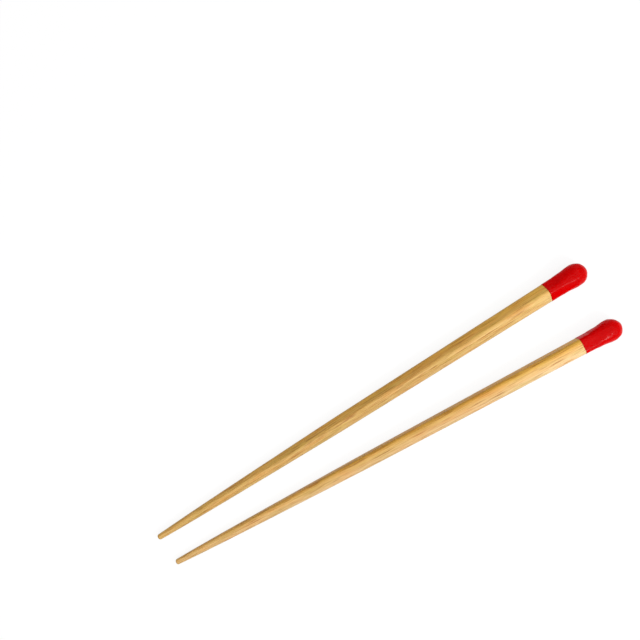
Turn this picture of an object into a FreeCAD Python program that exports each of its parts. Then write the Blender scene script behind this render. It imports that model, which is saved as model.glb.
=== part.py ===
"""A pair of bamboo chopsticks with dipped red heads, lying side by side.

All sizes are in millimetres. A stick is drawn in its own frame: the origin
is the tip's end, and +X runs along the stick to its head. The pair's frame
has +X from the tips to the heads and +Z up, with its origin on the table,
under the middle of the pair.
"""

import FreeCAD, Part
import math
import os

import Sketcher
from FreeCAD import Placement, Rotation, Vector

# Driving dimensions: lengths in millimetres, rolls in degrees

SIZES = {
    # the whole stick, and how far the red coat reaches back from its end
    "stick_length": 225.0,
    "coat_length": 20.2,
    # the bamboo: places along it, its width across the flats, the radius of its edges
    "tip_width": 2.45,
    "tip_edge": 1.15,
    "point_at": 12.0,
    "point_width": 3.32,
    "point_edge": 1.55,
    "neck_at": 45.0,
    "neck_width": 4.6,
    "neck_edge": 1.7,
    "shank_at": 70.0,
    "shank_width": 5.35,
    "shank_edge": 1.75,
    "belly_at": 98.0,
    "belly_width": 6.05,
    "belly_edge": 1.8,
    "butt_width": 7.68,
    "butt_edge": 2.1,
    # the roundings of its two cut ends
    "tip_round": 0.9,
    "butt_round": 1.5,
    # the red coat: places back from the stick's end, and its thickness over the bamboo
    "sleeve_coat": 0.1,
    "shoulder_back": 15.4,
    "swell_back": 10.5,
    "swell_coat": 0.76,
    "swell_edge": 3.9,
    "bulb_coat": 0.58,
    "end_coat": 3.0,
    # how the two sticks lie: how far their ends are apart, and how each is rolled
    "tip_spacing": 13.7,
    "head_spacing": 29.4,
    "lower_lead": 1.2,
    "upper_roll": 44.0,
    "lower_roll": 6.0,
}

# An edge is no rounder than this share of the width: half would be a circle.
EDGE_SHARE = 0.48

# The dome beyond the bulb is drawn through rings at these degrees of a quarter turn.
DOME_TURNS = (35, 62, 82)

# The table is found from a mesh of the stick this close to its surface.
CONTACT_DEPTH = 0.01


# Sizes that follow from the driving ones, as expressions on the sheet

BUTT_AT = "(sizes.stick_length - sizes.end_coat)"
COLLAR_AT = "(sizes.stick_length - sizes.coat_length)"
SHOULDER_AT = "(sizes.stick_length - sizes.shoulder_back)"
SWELL_AT = "(sizes.stick_length - sizes.swell_back)"
BUTT_CORNER = "((sizes.butt_width / 2 - sizes.butt_edge) * sqrt(2) + sizes.butt_edge)"
BULB_RADIUS = f"({BUTT_CORNER} + sizes.bulb_coat)"
BULB_AT = f"(sizes.stick_length - {BULB_RADIUS})"


def on_handle(size, at):
    """A size of the handle at a place: it changes evenly from the belly to the butt."""
    share = f"(({at} - sizes.belly_at) / ({BUTT_AT} - sizes.belly_at))"
    return f"(sizes.belly_{size} + (sizes.butt_{size} - sizes.belly_{size}) * {share})"


def make_sheet(doc):
    """Write the driving dimensions into the document's sheet."""
    sheet = doc.addObject("Spreadsheet::Sheet", "sizes")
    for row, (name, value) in enumerate(SIZES.items(), start=1):
        sheet.set(f"A{row}", name)
        sheet.set(f"B{row}", str(value))
        sheet.setAlias(f"B{row}", name)
    doc.recompute()
    return sheet


def cross_plane(body):
    """The body's own plane that stands square to the stick."""
    return next(plane for plane in body.Origin.OriginFeatures if plane.Role == "YZ_Plane")


def draw_rounded_square(sketch, half, flat):
    """Draw four arcs and the four straight sides between them, anticlockwise."""
    corners = ((flat, flat), (-flat, flat), (-flat, -flat), (flat, -flat))
    sides = (
        ((flat, half), (-flat, half)),
        ((-half, flat), (-half, -flat)),
        ((-flat, -half), (flat, -half)),
        ((half, -flat), (half, flat)),
    )
    for turn, (corner, side) in enumerate(zip(corners, sides)):
        circle = Part.Circle(Vector(*corner, 0), Vector(0, 0, 1), half - flat)
        sketch.addGeometry(Part.ArcOfCircle(circle, turn * math.pi / 2, (turn + 1) * math.pi / 2))
        sketch.addGeometry(Part.LineSegment(Vector(*side[0], 0), Vector(*side[1], 0)))


def section(body, name, at, width, edge):
    """A rounded square across the stick. Its place and sizes are expressions on the sheet."""
    sketch = body.newObject("Sketcher::SketchObject", name)
    sketch.AttachmentSupport = [(cross_plane(body), "")]
    sketch.MapMode = "FlatFace"
    sketch.setExpression("AttachmentOffset.Base.z", at)

    half, flat = 2.0, 1.0
    draw_rounded_square(sketch, half, flat)
    arcs = (0, 2, 4, 6)
    top, left, bottom, right = (1, 3, 5, 7)
    for piece in range(8):
        sketch.addConstraint(Sketcher.Constraint("Tangent", piece, 2, (piece + 1) % 8, 1))
    for line in (top, bottom):
        sketch.addConstraint(Sketcher.Constraint("Horizontal", line))
    for line in (left, right):
        sketch.addConstraint(Sketcher.Constraint("Vertical", line))
    for arc in arcs[1:]:
        sketch.addConstraint(Sketcher.Constraint("Equal", arcs[0], arc))
    sketch.addConstraint(Sketcher.Constraint("Symmetric", arcs[0], 3, arcs[2], 3, -1, 1))

    bound = (
        ("edge", ("Radius", arcs[0], half - flat), f"min({edge}; {EDGE_SHARE} * {width})"),
        ("across", ("DistanceX", left, 1, right, 1, 2 * half), width),
        ("tall", ("DistanceY", bottom, 1, top, 1, 2 * half), width),
    )
    for label, constraint, expression in bound:
        number = sketch.addConstraint(Sketcher.Constraint(*constraint))
        sketch.renameConstraint(number, label)
        sketch.setExpression(f"Constraints.{label}", expression)
    return sketch


def loft(body, name, sections, ruled=False):
    """A solid drawn through the sections in order."""
    feature = body.newObject("PartDesign::AdditiveLoft", name)
    feature.Profile = sections[0]
    feature.Sections = sections[1:]
    feature.Ruled = ruled
    return feature


def round_end(body, base, name, side, radius):
    """Round the edges of the flat face that ends the tip side (-1) or the head side (1)."""
    body.Document.recompute()
    faces = enumerate(base.Shape.Faces, start=1)
    number, _ = max(faces, key=lambda face: side * face[1].CenterOfMass.x)
    fillet = body.newObject("PartDesign::Fillet", name)
    fillet.Base = (base, [f"Face{number}"])
    fillet.setExpression("Radius", radius)
    return fillet


def make_shaft(doc, name):
    """The bamboo: a flat-sided, evenly tapered handle, and a point that turns round."""
    body = doc.addObject("PartDesign::Body", name)
    places = {
        "tip": "0",
        "point": "sizes.point_at",
        "neck": "sizes.neck_at",
        "shank": "sizes.shank_at",
        "belly": "sizes.belly_at",
        "butt": BUTT_AT,
    }
    cuts = [
        section(body, f"{name}_{place}", at, f"sizes.{place}_width", f"sizes.{place}_edge")
        for place, at in places.items()
    ]
    *point, belly, butt = cuts
    loft(body, f"{name}_point_form", [*point, belly])
    whole = loft(body, f"{name}_handle_form", [belly, butt], ruled=True)
    tip = round_end(body, whole, f"{name}_tip_end", -1, "min(sizes.tip_round; 0.8 * sizes.tip_edge)")
    round_end(body, tip, f"{name}_butt_end", 1, "min(sizes.butt_round; 0.8 * sizes.butt_edge)")
    return body


def make_head(doc, name, shaft):
    """The red coat: square and thin at its collar, a round bulb at its end, with the bamboo inside."""
    form = doc.addObject("PartDesign::Body", f"{name}_form")

    def sleeve_ring(place, at):
        width = f"({on_handle('width', at)} + 2 * sizes.sleeve_coat)"
        edge = f"({on_handle('edge', at)} + sizes.sleeve_coat)"
        return section(form, f"{name}_{place}", at, width, edge)

    collar = sleeve_ring("collar", COLLAR_AT)
    shoulder = sleeve_ring("shoulder", SHOULDER_AT)
    swell_width = f"({on_handle('width', SWELL_AT)} + 2 * sizes.swell_coat)"
    rings = [
        shoulder,
        section(form, f"{name}_swell", SWELL_AT, swell_width, "sizes.swell_edge"),
        section(form, f"{name}_bulb", BULB_AT, f"(2 * {BULB_RADIUS})", BULB_RADIUS),
    ]
    reach = math.sin(math.radians(DOME_TURNS[-1]))
    for turn in DOME_TURNS:
        at = f"({BULB_AT} + {math.sin(math.radians(turn)) / reach} * {BULB_RADIUS})"
        width = f"(2 * {math.cos(math.radians(turn))} * {BULB_RADIUS})"
        rings.append(section(form, f"{name}_dome_{turn}", at, width, BULB_RADIUS))
    loft(form, f"{name}_sleeve_form", [collar, shoulder], ruled=True)
    loft(form, f"{name}_bulb_form", rings)

    head = doc.addObject("Part::Cut", name)
    head.Base = form
    head.Tool = shaft
    return form, head


def is_above(start, middle, end):
    """Whether the middle point lies on or above the line from start to end."""
    run, rise = end[0] - start[0], end[1] - start[1]
    return (middle[1] - start[1]) * run >= rise * (middle[0] - start[0])


def resting_pitch(stick, roll):
    """The pitch, in degrees, at which a rolled stick lies on the table.

    Below the stick's outline, the table is the line that spans its centre of mass.
    """
    turned = stick.copy()
    turned.rotate(Vector(0, 0, 0), Vector(1, 0, 0), roll)
    points, _ = turned.tessellate(CONTACT_DEPTH)
    outline = []
    for point in sorted((corner.x, corner.z) for corner in points):
        while len(outline) > 1 and is_above(outline[-2], outline[-1], point):
            outline.pop()
        outline.append(point)
    middle = turned.CenterOfGravity.x
    start, end = next(pair for pair in zip(outline, outline[1:]) if pair[1][0] >= middle)
    print(f"rolled {roll} degrees, a stick touches the table at {start[0]:.1f} and {end[0]:.1f} mm")
    return math.degrees(math.atan2(end[1] - start[1], end[0] - start[0]))


def lie_down(stick, tip, yaw, roll):
    """The placement of a stick that lies on the table, with its tip's end over this point."""
    turn = (
        Rotation(Vector(0, 0, 1), yaw)
        * Rotation(Vector(0, 1, 0), resting_pitch(stick, roll))
        * Rotation(Vector(1, 0, 0), roll)
    )
    laid = stick.copy()
    laid.Placement = Placement(tip, turn)
    lift = -laid.optimalBoundingBox(False).ZMin
    return Placement(tip + Vector(0, 0, lift), turn)


def lay_pair(sheet, sticks):
    """Lay both sticks on the table, spread towards the heads, about the pair's middle."""
    tip_spacing, head_spacing = sheet.get("tip_spacing"), sheet.get("head_spacing")
    spread = math.degrees(math.asin((head_spacing - tip_spacing) / 2 / sheet.get("stick_length")))
    lie = {
        "upper": (Vector(0, tip_spacing / 2, 0), spread, sheet.get("upper_roll")),
        "lower": (Vector(sheet.get("lower_lead"), -tip_spacing / 2, 0), -spread, sheet.get("lower_roll")),
    }
    laid = []
    for name, pieces in sticks.items():
        whole = Part.Compound([piece.Shape for piece in pieces])
        placement = lie_down(whole, *lie[name])
        for piece in pieces:
            piece.Placement = placement
        whole.Placement = placement
        laid.append(whole)
    middle = Part.Compound(laid).optimalBoundingBox(False).Center
    for pieces in sticks.values():
        for piece in pieces:
            piece.Placement.Base -= Vector(middle.x, middle.y, 0)


def check(doc, nodes):
    """Stop if a feature failed, or a sub-part is not one valid solid."""
    for item in doc.Objects:
        if {"Invalid", "Error"} & set(item.State):
            raise RuntimeError(f"{item.Name} failed: {item.State}")
    for node in nodes:
        shape = node.Shape
        if shape.isNull() or not shape.isValid() or len(shape.Solids) != 1:
            raise RuntimeError(f"{node.Label} is not one valid solid")


def main():
    doc = FreeCAD.newDocument("chopsticks")
    sheet = make_sheet(doc)
    sticks, nodes = {}, []
    for name in ("upper", "lower"):
        shaft = make_shaft(doc, f"{name}_shaft")
        form, head = make_head(doc, f"{name}_head", shaft)
        sticks[name] = (shaft, form)
        nodes += [shaft, head]
    doc.recompute()
    for shaft, form in sticks.values():
        if not shaft.Shape.common(form.Shape).Solids:
            raise RuntimeError("the coat's form misses the bamboo")
    lay_pair(sheet, sticks)
    doc.recompute()
    check(doc, nodes)

    os.makedirs("parts", exist_ok=True)
    for node in nodes:
        shape = node.Shape
        shape.exportStep(f"parts/{node.Label}.step")
        box = shape.optimalBoundingBox(False)
        size = f"{box.XLength:.2f} x {box.YLength:.2f} x {box.ZLength:.2f} mm"
        print(f"{node.Label}: {size}, {shape.Volume:.1f} mm3, lowest {box.ZMin:.4f}")
    return doc


main()
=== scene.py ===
# %% [markdown]
# # A pair of bamboo chopsticks with dipped red heads
#
# Each stick is one strip of bamboo, planed square, tapered and turned round at the tip. Its thick
# end was dipped in red lacquer several times, until the coat stood out as a round bulb. The pair
# lies on a white table and the camera looks straight down on it.
#
# The solids come from the CAD model. This script gives them the surface that a hand would feel and
# an eye would see: the sanded waves of the bamboo, its fibres, and the uneven, glossy coat.

# %% Load the solids
import math

import bpy
import numpy as np
from mathutils import Matrix, Vector, noise
from mathutils.bvhtree import BVHTree


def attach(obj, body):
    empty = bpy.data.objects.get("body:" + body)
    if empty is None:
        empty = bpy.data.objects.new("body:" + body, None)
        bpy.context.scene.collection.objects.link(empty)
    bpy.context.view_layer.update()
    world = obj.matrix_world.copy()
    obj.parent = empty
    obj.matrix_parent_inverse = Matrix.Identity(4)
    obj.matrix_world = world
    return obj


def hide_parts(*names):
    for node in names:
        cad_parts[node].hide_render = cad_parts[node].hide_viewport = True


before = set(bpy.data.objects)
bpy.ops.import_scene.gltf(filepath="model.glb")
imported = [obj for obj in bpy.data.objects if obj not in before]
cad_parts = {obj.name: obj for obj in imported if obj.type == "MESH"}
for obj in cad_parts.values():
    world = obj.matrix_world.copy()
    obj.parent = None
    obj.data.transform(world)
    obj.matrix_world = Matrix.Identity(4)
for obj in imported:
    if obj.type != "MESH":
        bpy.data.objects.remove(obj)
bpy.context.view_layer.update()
MM = 0.001

print("solids:", sorted(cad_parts))

# %% [markdown]
# ## Where each stick lies
#
# A stick is easiest to work on in its own frame, as if it were clamped on a bench: along it from
# tip to head, and across it on two flats. The long axis is the one that the solid would spin about
# most easily, so it comes out of the solid's own mass.

# %% Find a solid's long axis


def long_axis(solid):
    """A point on the solid's long axis and its direction, from its second moments of volume."""
    mesh = solid.data
    mesh.calc_loop_triangles()
    corners = np.array([vertex.co for vertex in mesh.vertices])
    triangles = np.array([triangle.vertices for triangle in mesh.loop_triangles])
    a, b, c = (corners[triangles[:, i]] for i in range(3))
    volumes = np.einsum("ij,ij->i", a, np.cross(b, c)) / 6
    total = volumes.sum()
    centre = (volumes[:, None] * (a + b + c) / 4).sum(0) / total
    spread = sum(np.einsum("i,ij,ik->jk", volumes, p, p) for p in (a, b, c, a + b + c)) / 20
    spread -= total * np.outer(centre, centre)
    return Vector(centre), Vector(np.linalg.eigh(spread)[1][:, -1])


# %% [markdown]
# ## On the bench
#
# The stick is now clamped. Its flats are found by turning the section until its four ridges stand
# where ridges should. From here on a solid is felt with rays, as fingers would feel it: so far
# along, so far round, how far out is the surface?

# %% Clamp a stick on the bench
# Rays start this far from the axis, outside the wood, and run inwards.
RAY_START = 20 * MM
# The handle's flats are felt here, this far from the tip, with this many rays round it.
FLATS_AT = 150 * MM
FLATS_RAYS = 64


def circle(count):
    """Angles evenly round the stick."""
    return np.linspace(0, 2 * np.pi, count, endpoint=False)


class Stick:
    """One stick's own frame, and its solids as surfaces that can be felt with rays."""

    def __init__(self, name):
        self.name = name
        shaft, head = (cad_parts[f"{name}_{part}"] for part in ("shaft", "head"))
        centre, along = long_axis(shaft)
        if along.dot(long_axis(head)[0] - centre) < 0:
            along.negate()
        across = Vector((0, 0, 1)).cross(along).normalized()
        self.axes = Matrix((along, across, along.cross(across))).transposed()
        self.solids = {"shaft": self.surface(shaft), "head": self.surface(head)}
        start, self.butt = self.reach(shaft, centre, along)
        self.tip = centre + along * start
        self.butt -= start
        collar, end = self.reach(head, centre, along)
        self.collar, self.end = collar - start, end - start
        self.square_up()

    def surface(self, solid):
        """A solid's faces, sorted so that rays find them fast."""
        return BVHTree.FromPolygons(
            [vertex.co for vertex in solid.data.vertices],
            [polygon.vertices for polygon in solid.data.polygons],
        )

    def reach(self, solid, centre, along):
        """How far a solid reaches along the axis, to either side of its centre."""
        places = [along.dot(vertex.co - centre) for vertex in solid.data.vertices]
        return min(places), max(places)

    def square_up(self):
        """Turn the frame about the axis until its sides lie on the flats."""
        angles = circle(FLATS_RAYS)
        radii = self.feel("shaft", [FLATS_AT], angles)[0]
        ridge = np.angle(np.sum(radii * np.exp(-4j * angles)))
        turn = -ridge / 4 + math.pi / 4
        self.axes = self.axes @ Matrix.Rotation(turn, 3, "X")

    def feel(self, part, places, angles):
        """The radius of a solid at each place along the stick and each angle round it."""
        radii = np.zeros((len(places), len(angles)))
        for j, angle in enumerate(angles):
            out = self.axes @ Vector((0, math.cos(angle), math.sin(angle)))
            for i, place in enumerate(places):
                start = self.tip + self.axes @ Vector((place, 0, 0)) + out * RAY_START
                hit = self.solids[part].ray_cast(start, -out, RAY_START)
                radii[i, j] = RAY_START - hit[3] if hit[0] else 0.0
        return radii


sticks = {name: Stick(name) for name in ("upper", "lower")}
for stick in sticks.values():
    places = {"butt": stick.butt, "collar": stick.collar, "end": stick.end}
    measured = {key: round(value / MM, 2) for key, value in places.items()}
    print(stick.name, measured, "mm from the tip")

# %% [markdown]
# ## A skin of rings
#
# A turned or planed rod is a row of cross-sections, so every piece here is a row of rings with a
# point at each end. Each ring is felt on the solid with rays, which keeps the skin on it exactly,
# and then moved in or out a little for the marks of the work. The skin remembers where each of its
# points lies in the stick's own frame: grain has to follow the wood, not the table.

# %% Build a closed skin
BENCH = "bench_mm"


def skin(name, stick, places, radii, ends):
    """A closed mesh from rings of radii at places along the stick, closed at two end places."""
    rings, count = radii.shape
    angles = circle(count)
    bench = np.zeros((rings * count + 2, 3))
    bench[:-2, 0] = np.repeat(places, count)
    bench[:-2, 1] = (radii * np.cos(angles)).ravel()
    bench[:-2, 2] = (radii * np.sin(angles)).ravel()
    bench[-2:, 0] = ends
    first, last = len(bench) - 2, len(bench) - 1

    faces = []
    for ring in range(rings - 1):
        for i in range(count):
            near, far = ring * count, (ring + 1) * count
            j = (i + 1) % count
            faces.append((near + i, near + j, far + j, far + i))
    for i in range(count):
        j = (i + 1) % count
        faces.append((first, j, i))
        faces.append((last, (rings - 1) * count + i, (rings - 1) * count + j))

    mesh = bpy.data.meshes.new(name)
    world = bench @ np.array(stick.axes).T + np.array(stick.tip)
    mesh.from_pydata(world.tolist(), [], faces)
    mesh.polygons.foreach_set("use_smooth", [True] * len(mesh.polygons))
    place = mesh.attributes.new(BENCH, "FLOAT_VECTOR", "POINT")
    place.data.foreach_set("vector", (bench / MM).ravel())
    mesh.update()

    piece = bpy.data.objects.new(name, mesh)
    bpy.context.scene.collection.objects.link(piece)
    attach(piece, "root")
    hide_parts(name.removesuffix("_skin"))
    print(f"{name}: {rings} rings of {count}, {len(mesh.polygons)} faces")


# %% [markdown]
# ## The bamboo
#
# A planer leaves the four faces flat, and sanding by hand then leaves them a little wavy: a few
# hundredths of a millimetre, over a few centimetres. It can't be seen as a shape, but it is what
# makes the light wander along a face. The waves are real relief, and go inwards only, because
# sanding takes wood away.

# %% Sand the bamboo strips
SHAFT_ROUND = 96
SHAFT_STEP = 0.6 * MM
TIP_RINGS = 14
TIP_DOME = 1.4 * MM
SANDING_DEPTH = 0.035 * MM
SANDING_LENGTH = 16 * MM
SANDING_WIDTH = 2.6 * MM
# Where each stick lies in the noise, so that no two look alike.
STICK_APART = {"upper": 0.0, "lower": 37.0}


def sanding(stick, places, radii):
    """How deep sanding has gone at each point of the rings."""
    angles = circle(radii.shape[1])
    depth = np.zeros_like(radii)
    for i, place in enumerate(places):
        for j, angle in enumerate(angles):
            spot = Vector((
                place / SANDING_LENGTH + STICK_APART[stick.name],
                radii[i, j] * math.cos(angle) / SANDING_WIDTH,
                radii[i, j] * math.sin(angle) / SANDING_WIDTH,
            ))
            depth[i, j] = SANDING_DEPTH * (1 + noise.noise(spot)) / 2
    return depth


def shaft_places(stick):
    """Rings crowd together on the rounded tip and are evenly spread on the rest."""
    turn = np.linspace(0, np.pi / 2, TIP_RINGS + 1)[1:]
    dome = TIP_DOME * (1 - np.cos(turn))
    body = np.arange(TIP_DOME + SHAFT_STEP, stick.butt - SHAFT_STEP / 2, SHAFT_STEP)
    return np.concatenate([dome, body])


for stick in sticks.values():
    places = shaft_places(stick)
    wood = stick.feel("shaft", places, circle(SHAFT_ROUND))
    fade = np.clip(places / TIP_DOME, 0, 1)[:, None]
    wood -= sanding(stick, places, wood) * fade
    skin(f"{stick.name}_shaft_skin", stick, places, wood, (0.0, stick.butt))

# %% [markdown]
# ## The dipped coat
#
# A coat that is built up by dipping is never even. Its edge, where the stick stopped in the
# lacquer, is a thin rounded lip. Over the square wood it lies thin, and towards the end it has run
# together into a bulb. Long swells and smaller lumps, almost all of them under the solid's
# surface, break up the reflections, but a film of lacquer always stays over the wood. The lower
# stick hung longer, so its bulb is slimmer and a little pointed. The coat is a real shell here: an
# inner wall on the wood, the lip, and the outer wall.

# %% Dip the heads
HEAD_ROUND = 128
LIP = 0.16 * MM
LIP_RINGS = 6
HEAD_STEP = 0.16 * MM
DOME_RINGS = 26
BULB_RAYS = 60
INNER_GAP = 0.01 * MM
# Rays at a solid's very end could miss it, so they stay this far inside.
JUST_INSIDE = 0.02 * MM
SWELL_DEPTH = 0.3 * MM
SWELL_SIZE = 4.2 * MM
LUMP_SIZE = 2.2 * MM
# The middle depth, and how much swells and lumps add to it, as shares of the swells' depth.
SWELL_MIDDLE, SWELL_SWING, LUMP_SWING = 0.5, 0.3, 0.7
# The share of the depth that is left at the lip.
LIP_SHARE = 0.25
# Two places in the noise, far enough apart that swells and lumps have nothing in common.
SWELL_PLACE, LUMP_PLACE = 5, 9
THINNEST = 0.05 * MM
# How much of its radius each coat lacks at its end, first evenly and then on the dome alone.
SLIMMER = {"upper": 0.0, "lower": 0.03}
POINTED = {"upper": 0.0, "lower": 0.2}


def head_places(stick, bulb):
    """Places for the lip, the sleeve and the dome, with rings crowding at both ends."""
    lip = stick.collar + LIP * (1 - np.cos(np.linspace(0, np.pi / 2, LIP_RINGS + 1)))
    sleeve = np.arange(lip[-1] + HEAD_STEP, stick.end - bulb, HEAD_STEP)
    turn = np.linspace(0, np.pi / 2, DOME_RINGS, endpoint=False)
    dome = stick.end - bulb + bulb * np.sin(turn)
    return np.concatenate([lip[:-1], sleeve, dome])


def along_head(stick, places):
    """How far along the head a place is: 0 up to its collar, 1 at its end."""
    return np.clip((places - stick.collar) / (stick.end - stick.collar), 0, 1)


def swells(stick, places, radii):
    """How far the coat has run thin at each point: more on the bulb than near the lip."""
    angles = circle(radii.shape[1])
    apart = STICK_APART[stick.name]
    depth = np.zeros_like(radii)
    for i, place in enumerate(places):
        share = LIP_SHARE + (1 - LIP_SHARE) * along_head(stick, place)
        for j, angle in enumerate(angles):
            spot = Vector((place, radii[i, j] * math.cos(angle), radii[i, j] * math.sin(angle)))
            swell = noise.noise(spot / SWELL_SIZE + Vector((apart, SWELL_PLACE, 0)))
            lump = noise.noise(spot / LUMP_SIZE + Vector((apart, LUMP_PLACE, 0)))
            depth[i, j] = share * (SWELL_MIDDLE + SWELL_SWING * swell + LUMP_SWING * lump)
    return SWELL_DEPTH * depth


def wood_under(stick, places, angles):
    """The bamboo's radius inside the head, a hair larger, so that the coat lies on it."""
    return stick.feel("shaft", places, angles) + INNER_GAP


def dip(stick):
    """The coat's outer wall, from the lip to the dome, and the wood's surface under it."""
    angles = circle(HEAD_ROUND)
    axis_places = np.linspace(stick.collar, stick.end, BULB_RAYS)
    bulb = float(stick.feel("head", axis_places, [0.0]).max())
    places = head_places(stick, bulb)
    coat = stick.feel("head", np.maximum(places, stick.collar + JUST_INSIDE), angles)
    wood = wood_under(stick, np.minimum(places, stick.butt - JUST_INSIDE), angles)

    coat -= swells(stick, places, coat)
    slim = SLIMMER[stick.name] * along_head(stick, places)[:, None]
    on_dome = np.clip((places - (stick.end - bulb)) / bulb, 0, 1)[:, None]
    coat *= 1 - slim - POINTED[stick.name] * on_dome**3

    under = places < stick.butt
    coat[under] = np.maximum(coat[under], wood[under] + THINNEST)
    on_lip = places < stick.collar + LIP
    rise = np.sin(np.arccos(np.clip(1 - (places - stick.collar) / LIP, 0, 1)))[:, None]
    coat[on_lip] = (wood + (coat - wood) * rise)[on_lip]
    return places, coat, wood[under]


for stick in sticks.values():
    places, coat, wood = dip(stick)
    socket_places = np.append(places[: len(wood)], stick.butt + INNER_GAP)[::-1]
    socket = np.vstack([wood, wood[-1]])[::-1]
    rows = np.concatenate([socket_places, places])
    radii = np.concatenate([socket, coat])
    skin(f"{stick.name}_head_skin", stick, rows, radii, (rows[0], stick.end))
    print(f"{stick.name} bulb: {2 * coat.max() / MM:.2f} mm across")

# %% [markdown]
# ## Colours and nodes
#
# Colours are written as they look on a screen and turned to the linear values that light adds up
# in. One helper adds a node with its settings and its links, so a material reads from top to
# bottom like a recipe. Another turns a pattern into a share, which a recipe needs at each step.

# %% Helpers for every finish
LACQUER_IOR = 1.5
# Where Blender's Mix node has its colours: it has sockets for numbers and vectors before them.
MIX_FIRST, MIX_SECOND, MIX_RESULT = 6, 7, 2


def linear(colour):
    """An sRGB hex colour as linear red, green, blue and alpha."""
    shares = [int(colour[i : i + 2], 16) / 255 for i in (1, 3, 5)]
    return [s / 12.92 if s <= 0.04045 else ((s + 0.055) / 1.055) ** 2.4 for s in shares] + [1.0]


def add(tree, kind, inputs=None, **settings):
    """Add a node. An input is a number, a colour or another node's output."""
    made = tree.nodes.new(kind)
    for name, value in settings.items():
        setattr(made, name, value)
    for socket, value in (inputs or {}).items():
        if isinstance(value, bpy.types.NodeSocket):
            tree.links.new(value, made.inputs[socket])
        else:
            made.inputs[socket].default_value = value
    return made


def between(tree, value, low, high, least=0.0, most=1.0):
    """Turn a value that runs from low to high into a share from least to most."""
    span = {"Value": value, "From Min": low, "From Max": high, "To Min": least, "To Max": most}
    return add(tree, "ShaderNodeMapRange", span).outputs["Result"]


def mix(tree, share, first, second, blend="MIX"):
    """Two colours mixed by a share, as paint over paint or, with MULTIPLY, as a clear stain."""
    inputs = {"Factor": share, MIX_FIRST: first, MIX_SECOND: second}
    mixed = add(tree, "ShaderNodeMix", inputs, data_type="RGBA", blend_type=blend)
    return mixed.outputs[MIX_RESULT]


def new_finish(name):
    """An empty material and its node tree."""
    material = bpy.data.materials.new(name)
    material.use_nodes = True
    material.node_tree.nodes.clear()
    return material, material.node_tree


# %% [markdown]
# ## Sanded bamboo under a clear satin lacquer
#
# Bamboo is a bundle of straight fibres. Towards the skin of the cane they stand close together and
# the wood is honey coloured. Towards the hollow it is paler straw. A stick is as thick as the
# cane's wall, so one of its sides is always darker than the other. The darker side is laid where
# the faces are in shade and the paler side on the lit faces, so this tone is partly painted shade
# and painted sheen. Over that lie clear stains that only darken: the wood is darker towards the
# tips, long patches drift to a warmer or an olive tone, and a planed face cuts fibres and their
# dark bundles lengthwise, which shows as broken lines.
#
# All the patterns are solid ones, measured in millimetres on the bench and stretched along the
# stick, so a line that reaches a ridge carries on round it. The lacquer is thin and satin, with a
# broad, weak sheen that the fibres break up a little.

# %% The bamboo finish
# The honey is laid on the faces in shade and the straw on the lit faces, so they are partly painted
# shade and painted sheen. The lower stick's straw is paler still, as painted sheen on its top.
SKIN_HONEY_AND_SHADE = "#E9B54B"
HOLLOW_STRAW_AND_SHEEN = {"upper": "#F0CC89", "lower": "#F7DAAC"}
# Half the thickness of the cane's wall, in millimetres.
WALL_HALF = 3.0

# How long and how wide the spots of each pattern are, in millimetres. Real fibres are 0.02 mm
# thick. They are drawn 0.45 mm wide, or the picture would show none.
DRIFT = {"long": 16.0, "wide": 2.2, "detail": 2.0}
FIBRES = {"long": 13.0, "wide": 0.45, "detail": 4.0}
BUNDLES = {"long": 11.0, "wide": 0.3, "detail": 1.0}
GRAIN_ROUGHNESS = 0.6

# Each stain's colour, and where it starts and is full: in millimetres from the tip for the
# darkening towards the tips, and as values of their pattern for the others.
# The wood is darker from 200 mm towards the tip, fully so from 140 mm.
TIP_DARKENING_STAIN, TIP_DARKENING_SPAN = "#EEEBE8", (200.0, 140.0)
WARM_STAIN, WARM_SPAN = "#FFF0E2", (0.5, 0.7)
OLIVE_STAIN, OLIVE_SPAN = "#F0F2DC", (0.5, 0.3)
FIBRE_STAIN, FIBRE_SPAN = "#EADDBE", (0.55, 0.35)
BUNDLE_STAIN, BUNDLE_SPAN = "#CCB08E", (0.56, 0.68)

# The satin lacquer's roughness rises a little as the fibres' pattern does.
SHEEN_SPAN, GLOSSIEST, DULLEST = (0.3, 0.7), 0.4, 0.5
SATIN_SPECULAR = 0.4
FIBRE_RELIEF = 0.003 * MM


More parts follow.
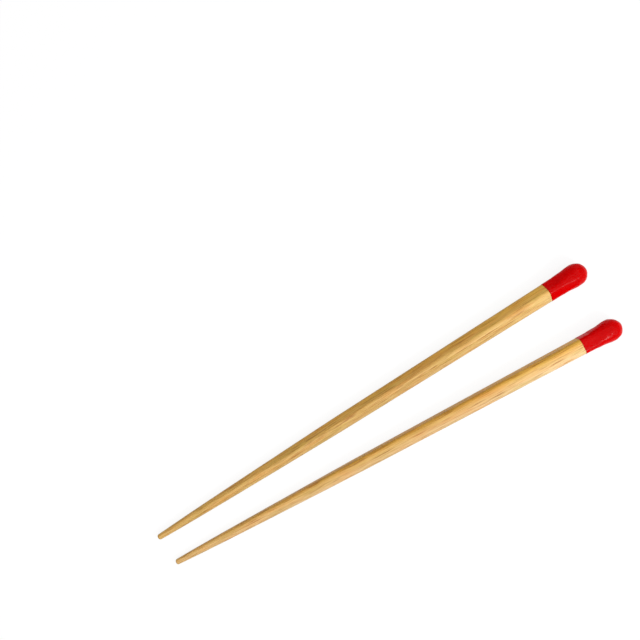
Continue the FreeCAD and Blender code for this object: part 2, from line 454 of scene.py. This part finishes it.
def bamboo_finish(name, apart, toward_skin_and_shade, straw_and_sheen):
    """Bamboo whose patterns lie apart from the other stick's, with its skin side, where shade is
    painted, this way.
    """
    material, tree = new_finish(name)
    bench = add(tree, "ShaderNodeAttribute", attribute_name=BENCH).outputs["Vector"]
    along = add(tree, "ShaderNodeSeparateXYZ", {"Vector": bench}).outputs["X"]

    def grain(long, wide, detail):
        """Noise whose spots are so long and so wide, in millimetres."""
        scale = (1 / long, 1 / wide, 1 / wide)
        stretch = {"Vector": bench, "Location": (apart, apart, 0), "Scale": scale}
        place = add(tree, "ShaderNodeMapping", stretch).outputs["Vector"]
        spots = {"Vector": place, "Scale": 1.0, "Detail": detail, "Roughness": GRAIN_ROUGHNESS}
        return add(tree, "ShaderNodeTexNoise", spots).outputs["Fac"]

    drift, fibres, bundles = grain(**DRIFT), grain(**FIBRES), grain(**BUNDLES)

    across = {0: bench, 1: tuple(toward_skin_and_shade)}
    depth = add(tree, "ShaderNodeVectorMath", across, operation="DOT_PRODUCT").outputs["Value"]
    hollow_and_lit_share = between(tree, depth, WALL_HALF, -WALL_HALF)
    # Honey on the shaded side and straw on the lit side: the wood's own tone, partly painted shade
    # and painted sheen.
    colour = mix(tree, hollow_and_lit_share, linear(SKIN_HONEY_AND_SHADE), linear(straw_and_sheen))
    stains = (
        (along, TIP_DARKENING_SPAN, TIP_DARKENING_STAIN),
        (drift, WARM_SPAN, WARM_STAIN),
        (drift, OLIVE_SPAN, OLIVE_STAIN),
        (fibres, FIBRE_SPAN, FIBRE_STAIN),
        (bundles, BUNDLE_SPAN, BUNDLE_STAIN),
    )
    for pattern, span, stain in stains:
        colour = mix(tree, between(tree, pattern, *span), colour, linear(stain), "MULTIPLY")

    relief = {"Height": fibres, "Distance": FIBRE_RELIEF, "Strength": 1.0}
    lacquered = {
        "Base Color": colour,
        "Roughness": between(tree, fibres, *SHEEN_SPAN, GLOSSIEST, DULLEST),
        "Normal": add(tree, "ShaderNodeBump", relief).outputs["Normal"],
        "IOR": LACQUER_IOR,
        "Specular IOR Level": SATIN_SPECULAR,
    }
    surface = add(tree, "ShaderNodeBsdfPrincipled", lacquered)
    add(tree, "ShaderNodeOutputMaterial", {"Surface": surface.outputs["BSDF"]})
    return material


# Which way the cane's skin was, read from the photograph's darker faces. Its honey tone on those
# faces is partly painted shade.
SKIN_AND_SHADE_SIDE = {"upper": Vector((0, 1, 0)), "lower": Vector((0, 0.95, 0.3))}

for stick in sticks.values():
    toward_skin_and_shade = stick.axes.transposed() @ SKIN_AND_SHADE_SIDE[stick.name]
    toward_skin_and_shade.x = 0  # the tone changes across the stick, not along it
    name, apart = f"satin_bamboo_{stick.name}", STICK_APART[stick.name]
    bamboo = bamboo_finish(name, apart, toward_skin_and_shade, HOLLOW_STRAW_AND_SHEEN[stick.name])
    bpy.data.objects[f"{stick.name}_shaft_skin"].data.materials.append(bamboo)
    print(f"{name}: {len(bamboo.node_tree.nodes)} nodes")

# %% [markdown]
# ## Red dipped lacquer
#
# The coat is an opaque alkyd lacquer with a strong red pigment. It is so saturated that hardly any
# green or blue comes back. It dried glossy, with a faint orange peel, and glossier in some places
# than in others. A deep red like this shows only weak reflections, so its specular level is low,
# and its rough pigment spreads the light flatly. At its lip the coat is thin and wet the wood, and
# the rounded lip lies in its own shade, so a dark line is painted there: partly the thin coat,
# partly painted shade.

# %% The red coat's finish
LACQUER_RED = "#DD0000"
LACQUER_DEEP = "#D10003"
LIP_RED_AND_SHADE = "#8A0208"
# The dark line, partly painted shade: its width in millimetres, and how much shows at the very
# edge.
LIP_LINE = 0.28
LIP_SHADE = 0.9
# Clouds of duller and brighter gloss, and the orange peel: how wide their spots are in millimetres.
CLOUD_SIZE = 10 / 3
CLOUD_SPAN, BRIGHT_GLOSS, DULL_GLOSS = (0.4, 0.6), 0.16, 0.3
PEEL_SIZE = 1.8
PEEL_RELIEF = 0.008 * MM
SOFT_DETAIL = 2.0
RED_SPECULAR = 0.045
PIGMENT_ROUGHNESS = 1.0


def lacquer_finish(name, collar):
    """Red lacquer that starts at the collar, so many millimetres from the tip."""
    material, tree = new_finish(name)
    bench = add(tree, "ShaderNodeAttribute", attribute_name=BENCH).outputs["Vector"]
    along = add(tree, "ShaderNodeSeparateXYZ", {"Vector": bench}).outputs["X"]

    def blotches(size):
        """Round, soft noise whose spots are so many millimetres across."""
        spots = {"Vector": bench, "Scale": 1 / size, "Detail": SOFT_DETAIL}
        return add(tree, "ShaderNodeTexNoise", spots).outputs["Fac"]

    clouds, peel = blotches(CLOUD_SIZE), blotches(PEEL_SIZE)
    # The dark line at the lip is partly the thin coat and partly painted shade.
    lip = between(tree, along, collar + LIP_LINE, collar, most=LIP_SHADE)
    colour = mix(tree, clouds, linear(LACQUER_RED), linear(LACQUER_DEEP))
    colour = mix(tree, lip, colour, linear(LIP_RED_AND_SHADE))
    relief = {"Height": peel, "Distance": PEEL_RELIEF, "Strength": 1.0}
    lacquered = {
        "Base Color": colour,
        "Roughness": between(tree, clouds, *CLOUD_SPAN, BRIGHT_GLOSS, DULL_GLOSS),
        "Normal": add(tree, "ShaderNodeBump", relief).outputs["Normal"],
        "IOR": LACQUER_IOR,
        "Specular IOR Level": RED_SPECULAR,
        "Diffuse Roughness": PIGMENT_ROUGHNESS,
    }
    surface = add(tree, "ShaderNodeBsdfPrincipled", lacquered)
    add(tree, "ShaderNodeOutputMaterial", {"Surface": surface.outputs["BSDF"]})
    return material


lacquer = lacquer_finish("red_dipped_lacquer", sticks["upper"].collar / MM)
for stick in sticks.values():
    bpy.data.objects[f"{stick.name}_head_skin"].data.materials.append(lacquer)
print(f"{lacquer.name}: {len(lacquer.node_tree.nodes)} nodes")

# %% [markdown]
# ## The white table
#
# The table is plain and matt. Where the camera sees it, straight or in a reflection, most of it is
# shown as plain white. The rest is its true shading, which keeps the sticks' soft shadow. What
# light the table throws on the sticks comes from its paint alone.

# %% Lay the table
# Metres.
TABLE_SIZE = 6.0
TABLE_WHITE = "#D2D2D2"
# A little over 1, so that the mix with the true shading still comes out white.
SHOWN_WHITE = 1.145
SHOWN_SHARE = 0.75


def seen_or_mirrored(tree):
    """1 for rays from the camera and for rays that mirror or pass through something."""
    path = add(tree, "ShaderNodeLightPath")
    seen = path.outputs["Is Camera Ray"]
    for other in ("Is Glossy Ray", "Is Transmission Ray"):
        inputs = {0: seen, 1: path.outputs[other]}
        seen = add(tree, "ShaderNodeMath", inputs, operation="MAXIMUM").outputs[0]
    return seen


table_finish, tree = new_finish("matt_white_table")
paint = add(tree, "ShaderNodeBsdfDiffuse", {"Color": linear(TABLE_WHITE)})
white = add(tree, "ShaderNodeEmission", {"Strength": SHOWN_WHITE})
inputs = {0: seen_or_mirrored(tree), 1: SHOWN_SHARE}
share = add(tree, "ShaderNodeMath", inputs, operation="MULTIPLY")
both = {0: share.outputs[0], 1: paint.outputs[0], 2: white.outputs[0]}
shown = add(tree, "ShaderNodeMixShader", both)
add(tree, "ShaderNodeOutputMaterial", {"Surface": shown.outputs[0]})

table_mesh = bpy.data.meshes.new("table")
half = TABLE_SIZE / 2
rim = [(-half, -half, 0), (half, -half, 0), (half, half, 0), (-half, half, 0)]
table_mesh.from_pydata(rim, [], [(0, 1, 2, 3)])
table_mesh.materials.append(table_finish)
table = bpy.data.objects.new("table", table_mesh)
bpy.context.scene.collection.objects.link(table)
print(f"the table is {TABLE_SIZE:.0f} m wide")

# %% [markdown]
# ## Light
#
# Most of the light comes softly from above, a little from the right, as from a bright ceiling.
# A small window to the right, half way up, draws the highlights on the red coat and makes the
# difference between the bamboo's faces. Its place was worked out backwards, from where the
# highlights lie on the round heads. It is close, so the head ends are the brighter ones. The world
# is the rest of the white room: the camera and mirrored rays see it white, and it lights the pair
# only weakly.

# %% Light the room
ROOM_WHITE = "#FFFFFF"
ROOM_LIGHT = 0.23
# Places and sizes in metres, powers in watts.
AIMED_AT = Vector((0.05, 0, 0))
CEILING = {"at": Vector((0.1, -0.2, 1.2)), "size": 2.4, "power": 21.6}
WINDOW = {"at": Vector((0.155, -0.22, 0.27)), "size": 0.06, "power": 0.36}

room = bpy.data.worlds.new("white_room")
room.use_nodes = True
room.node_tree.nodes.clear()
tree = room.node_tree
strength = between(tree, seen_or_mirrored(tree), 0.0, 1.0, ROOM_LIGHT, 1.0)
walls = add(tree, "ShaderNodeBackground", {"Color": linear(ROOM_WHITE), "Strength": strength})
add(tree, "ShaderNodeOutputWorld", {"Surface": walls.outputs[0]})
bpy.context.scene.world = room

for name, light in (("ceiling", CEILING), ("window", WINDOW)):
    lamp = bpy.data.lights.new(name, "AREA")
    lamp.size = light["size"]
    lamp.energy = light["power"]
    hung = bpy.data.objects.new(name, lamp)
    hung.location = light["at"]
    hung.rotation_euler = (light["at"] - AIMED_AT).to_track_quat("Z", "Y").to_euler()
    hung.visible_camera = False
    bpy.context.scene.collection.objects.link(hung)
    print(f"{name}: {light['power']} W from {light['size']} m wide")

# %% [markdown]
# ## Camera
#
# The photograph looks straight down. In it both sticks measure 504 pixels from end to end, and
# the line between them climbs to the right by 30 degrees. A 40 mm lens at 320 mm above the table
# gives that scale. The camera stands over the middle of the picture, which lies to one side of
# the pair, so no lens shift is needed.

# %% Set up the camera
PICTURE = 640
PIXELS_PER_MM = 2.2163
CAMERA_HEIGHT = 320 * MM
CLIMB = math.radians(30.35)
# Where the middle of the picture lies on the table, in the pair's frame.
PICTURE_MIDDLE = Vector((-1.24, 54.43)) * MM
# A full-frame sensor's width, in millimetres.
SENSOR = 36.0

focal_pixels = PIXELS_PER_MM / MM * CAMERA_HEIGHT
lens_data = bpy.data.cameras.new("camera")
lens_data.sensor_width = SENSOR
lens_data.lens = focal_pixels * SENSOR / PICTURE
camera = bpy.data.objects.new("camera", lens_data)
camera.location = (*PICTURE_MIDDLE, CAMERA_HEIGHT)
camera.rotation_euler = (0, 0, -CLIMB)
bpy.context.scene.collection.objects.link(camera)
bpy.context.scene.camera = camera
bpy.context.scene.view_settings.view_transform = "Standard"
print(f"lens {lens_data.lens:.1f} mm, {CAMERA_HEIGHT / MM:.0f} mm above the table")
